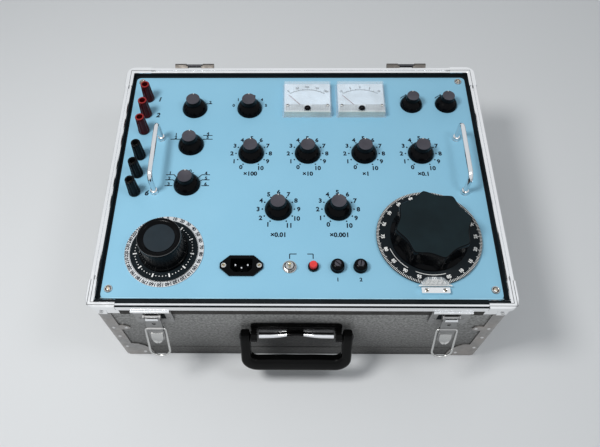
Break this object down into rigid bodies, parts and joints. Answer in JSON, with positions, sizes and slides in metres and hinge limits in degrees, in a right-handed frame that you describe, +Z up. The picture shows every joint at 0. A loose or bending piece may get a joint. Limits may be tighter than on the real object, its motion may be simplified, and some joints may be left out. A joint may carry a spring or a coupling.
{
  "type": "transformer ratio bridge",
  "caption": "Portable laboratory bridge in a metal-edged case: panel with rotary decades, selectors, dials, meters, binding posts, mains inlet, draw latches and a carrying handle.",
  "frame": {"origin": "centre of the bounding box's bottom face, on the surface that the case stands on", "axes": "+X to the right of a person at the front, +Y from the carrying handle to the hinges, +Z up"},
  "size_m": [0.468, 0.386, 0.1997],
  "materials": {
    "case_covering": "silver-grey grained covering over plywood",
    "rim_metal": "bright extruded rail with cast corners",
    "guard_metal": "bright pressed sheet",
    "hinge_metal": "dull plated",
    "latch_metal": "bright nickel plate",
    "handle_black": "black, half gloss",
    "panel_blue": "light blue smooth paint",
    "knob_black": "black",
    "terminal_red": "dark red",
    "terminal_black": "black",
    "bow_chrome": "polished",
    "ring_silver": "satin",
    "dial_black": "black with engraved scale",
    "vernier_metal": "bright",
    "meter_dial": "white",
    "meter_clear": "clear",
    "needle_black": "black",
    "screw_black": "black",
    "inlet_black": "black",
    "toggle_metal": "nickel plate",
    "button_red": "red",
    "board_brown": "brown laminate",
    "wound_core": "wound iron core"
  },
  "bodies": {
    "case": {"case_tub": "case_covering", "rim_frame": "rim_metal", "corner_guard_front_left": "guard_metal", "corner_guard_front_right": "guard_metal", "corner_guard_back_left": "guard_metal", "corner_guard_back_right": "guard_metal", "hinge_leaf_left": "hinge_metal", "hinge_leaf_right": "hinge_metal", "latch_plate_left": "latch_metal", "latch_plate_right": "latch_metal", "handle_base": "handle_black", "panel": "panel_blue", "regulator_ring": "ring_silver", "vernier_bracket": "vernier_metal", "bow_handle_left": "bow_chrome", "bow_handle_right": "bow_chrome", "meter_body_1": "meter_dial", "meter_body_2": "meter_dial", "meter_cover_1": "meter_clear", "meter_cover_2": "meter_clear", "mains_inlet": "inlet_black", "toggle_bush": "toggle_metal", "button_bezel": "knob_black", "sub_board": "board_brown", "ratio_transformer": "wound_core", "regulator_core": "wound_core"},
    "selector_1": {"selector_knob_1": "knob_black"},
    "selector_2": {"selector_knob_2": "knob_black"},
    "selector_3": {"selector_knob_3": "knob_black"},
    "selector_4": {"selector_knob_4": "knob_black"},
    "decade_1": {"decade_knob_1": "knob_black"},
    "decade_2": {"decade_knob_2": "knob_black"},
    "decade_3": {"decade_knob_3": "knob_black"},
    "decade_4": {"decade_knob_4": "knob_black"},
    "decade_5": {"decade_knob_5": "knob_black"},
    "decade_6": {"decade_knob_6": "knob_black"},
    "trimmer_1": {"trim_knob_1": "knob_black"},
    "trimmer_2": {"trim_knob_2": "knob_black"},
    "regulator_dial": {"regulator_dial_knob": "knob_black"},
    "slide_dial": {"slide_dial_disc": "dial_black", "slide_dial_knob": "knob_black"},
    "toggle": {"toggle_lever": "toggle_metal"},
    "button": {"push_button": "button_red"},
    "fuse_1": {"fuse_cap_1": "inlet_black"},
    "fuse_2": {"fuse_cap_2": "inlet_black"},
    "terminal_1": {"terminal_cap_1": "terminal_red"},
    "terminal_2": {"terminal_cap_2": "terminal_red"},
    "terminal_3": {"terminal_cap_3": "terminal_red"},
    "terminal_4": {"terminal_cap_4": "terminal_black"},
    "terminal_5": {"terminal_cap_5": "terminal_black"},
    "terminal_6": {"terminal_cap_6": "terminal_black"},
    "needle_1": {"meter_needle_1": "needle_black"},
    "zero_1": {"zero_screw_1": "screw_black"},
    "needle_2": {"meter_needle_2": "needle_black"},
    "zero_2": {"zero_screw_2": "screw_black"},
    "handle": {"carry_handle": "handle_black"},
    "latch_left": {"latch_lever_left": "latch_metal"},
    "bail_left": {"latch_bail_left": "latch_metal"},
    "latch_right": {"latch_lever_right": "latch_metal"},
    "bail_right": {"latch_bail_right": "latch_metal"}
  },
  "joints": [
    {"name": "selector_1_turn", "type": "hinge", "parent": "case", "child": "selector_1", "pos_m": [-0.138, 0.11839, 0.1647], "axis": [0, 0, 1], "range_deg": [-30, 30]},
    {"name": "selector_2_turn", "type": "hinge", "parent": "case", "child": "selector_2", "pos_m": [-0.138, 0.05889, 0.1647], "axis": [0, 0, 1], "range_deg": [-45, 45]},
    {"name": "selector_3_turn", "type": "hinge", "parent": "case", "child": "selector_3", "pos_m": [-0.138, -0.00061, 0.1647], "axis": [0, 0, 1], "range_deg": [-90, 90]},
    {"name": "selector_4_turn", "type": "hinge", "parent": "case", "child": "selector_4", "pos_m": [-0.0663, 0.11839, 0.1647], "axis": [0, 0, 1], "range_deg": [-75, 75]},
    {"name": "decade_1_turn", "type": "hinge", "parent": "case", "child": "decade_1", "pos_m": [-0.0617, 0.04619, 0.1647], "axis": [0, 0, 1], "range_deg": [-150, 150]},
    {"name": "decade_2_turn", "type": "hinge", "parent": "case", "child": "decade_2", "pos_m": [0.0088, 0.04619, 0.1647], "axis": [0, 0, 1], "range_deg": [-150, 150]},
    {"name": "decade_3_turn", "type": "hinge", "parent": "case", "child": "decade_3", "pos_m": [0.0793, 0.04619, 0.1647], "axis": [0, 0, 1], "range_deg": [-150, 150]},
    {"name": "decade_4_turn", "type": "hinge", "parent": "case", "child": "decade_4", "pos_m": [0.1498, 0.04619, 0.1647], "axis": [0, 0, 1], "range_deg": [-150, 150]},
    {"name": "decade_5_turn", "type": "hinge", "parent": "case", "child": "decade_5", "pos_m": [-0.0265, -0.03511, 0.1647], "axis": [0, 0, 1], "range_deg": [-150, 150]},
    {"name": "decade_6_turn", "type": "hinge", "parent": "case", "child": "decade_6", "pos_m": [0.044, -0.03511, 0.1647], "axis": [0, 0, 1], "range_deg": [-150, 150]},
    {"name": "trimmer_1_turn", "type": "hinge", "parent": "case", "child": "trimmer_1", "pos_m": [0.1452, 0.12509, 0.1647], "axis": [0, 0, 1], "range_deg": [-140, 140]},
    {"name": "trimmer_2_turn", "type": "hinge", "parent": "case", "child": "trimmer_2", "pos_m": [0.1906, 0.12509, 0.1647], "axis": [0, 0, 1], "range_deg": [-140, 140]},
    {"name": "regulator_dial_turn", "type": "hinge", "parent": "case", "child": "regulator_dial", "pos_m": [-0.1558, -0.09131, 0.1647], "axis": [0, 0, 1], "range_deg": [-160, 160]},
    {"name": "slide_dial_turn", "type": "hinge", "parent": "case", "child": "slide_dial", "pos_m": [0.1465, -0.07361, 0.1647], "axis": [0, 0, 1], "range_deg": [-170, 170]},
    {"name": "toggle_turn", "type": "hinge", "parent": "case", "child": "toggle", "pos_m": [-0.0129, -0.11111, 0.1677], "axis": [1, 0, 0], "range_deg": [-24, 0]},
    {"name": "button_press", "type": "slide", "parent": "case", "child": "button", "axis": [0, 0, -1], "range_m": [0, 0.003], "stiffness_N_per_m": 300, "springref_m": -0.002},
    {"name": "fuse_1_turn", "type": "hinge", "parent": "case", "child": "fuse_1", "pos_m": [0.0407, -0.11111, 0.1647], "axis": [0, 0, 1], "range_deg": [0, 90]},
    {"name": "fuse_2_turn", "type": "hinge", "parent": "case", "child": "fuse_2", "pos_m": [0.0663, -0.11111, 0.1647], "axis": [0, 0, 1], "range_deg": [0, 90]},
    {"name": "terminal_1_turn", "type": "hinge", "parent": "case", "child": "terminal_1", "pos_m": [-0.2003, 0.13559, 0.1647], "axis": [0, 0, 1], "range_deg": [0, 720]},
    {"name": "terminal_2_turn", "type": "hinge", "parent": "case", "child": "terminal_2", "pos_m": [-0.2003, 0.10879, 0.1647], "axis": [0, 0, 1], "range_deg": [0, 720]},
    {"name": "terminal_3_turn", "type": "hinge", "parent": "case", "child": "terminal_3", "pos_m": [-0.2003, 0.08199, 0.1647], "axis": [0, 0, 1], "range_deg": [0, 720]},
    {"name": "terminal_4_turn", "type": "hinge", "parent": "case", "child": "terminal_4", "pos_m": [-0.2003, 0.04209, 0.1647], "axis": [0, 0, 1], "range_deg": [0, 720]},
    {"name": "terminal_5_turn", "type": "hinge", "parent": "case", "child": "terminal_5", "pos_m": [-0.2003, 0.01529, 0.1647], "axis": [0, 0, 1], "range_deg": [0, 720]},
    {"name": "terminal_6_turn", "type": "hinge", "parent": "case", "child": "terminal_6", "pos_m": [-0.2003, -0.01151, 0.1647], "axis": [0, 0, 1], "range_deg": [0, 720]},
    {"name": "needle_1_turn", "type": "hinge", "parent": "case", "child": "needle_1", "pos_m": [0.0092, 0.10979, 0.17], "axis": [0, 0, -1], "range_deg": [0, 84]},
    {"name": "zero_1_turn", "type": "hinge", "parent": "case", "child": "zero_1", "pos_m": [0.0092, 0.10979, 0.1747], "axis": [0, 0, 1], "range_deg": [-30, 30]},
    {"name": "needle_2_turn", "type": "hinge", "parent": "case", "child": "needle_2", "pos_m": [0.0791, 0.10979, 0.17], "axis": [0, 0, -1], "range_deg": [0, 84]},
    {"name": "zero_2_turn", "type": "hinge", "parent": "case", "child": "zero_2", "pos_m": [0.0791, 0.10979, 0.1747], "axis": [0, 0, 1], "range_deg": [-30, 30]},
    {"name": "handle_turn", "type": "hinge", "parent": "case", "child": "handle", "pos_m": [-0.005, -0.16716, 0.0925], "axis": [-1, 0, 0], "range_deg": [0, 95]},
    {"name": "latch_left_turn", "type": "hinge", "parent": "case", "child": "latch_left", "pos_m": [-0.165, -0.16336, 0.147], "axis": [-1, 0, 0], "range_deg": [0, 100]},
    {"name": "bail_left_turn", "type": "hinge", "parent": "latch_left", "child": "bail_left", "pos_m": [-0.165, -0.16876, 0.12362], "axis": [-1, 0, 0], "range_deg": [0, 100]},
    {"name": "latch_right_turn", "type": "hinge", "parent": "case", "child": "latch_right", "pos_m": [0.165, -0.16336, 0.147], "axis": [-1, 0, 0], "range_deg": [0, 100]},
    {"name": "bail_right_turn", "type": "hinge", "parent": "latch_right", "child": "bail_right", "pos_m": [0.165, -0.16876, 0.12362], "axis": [-1, 0, 0], "range_deg": [0, 100]}
  ]
}
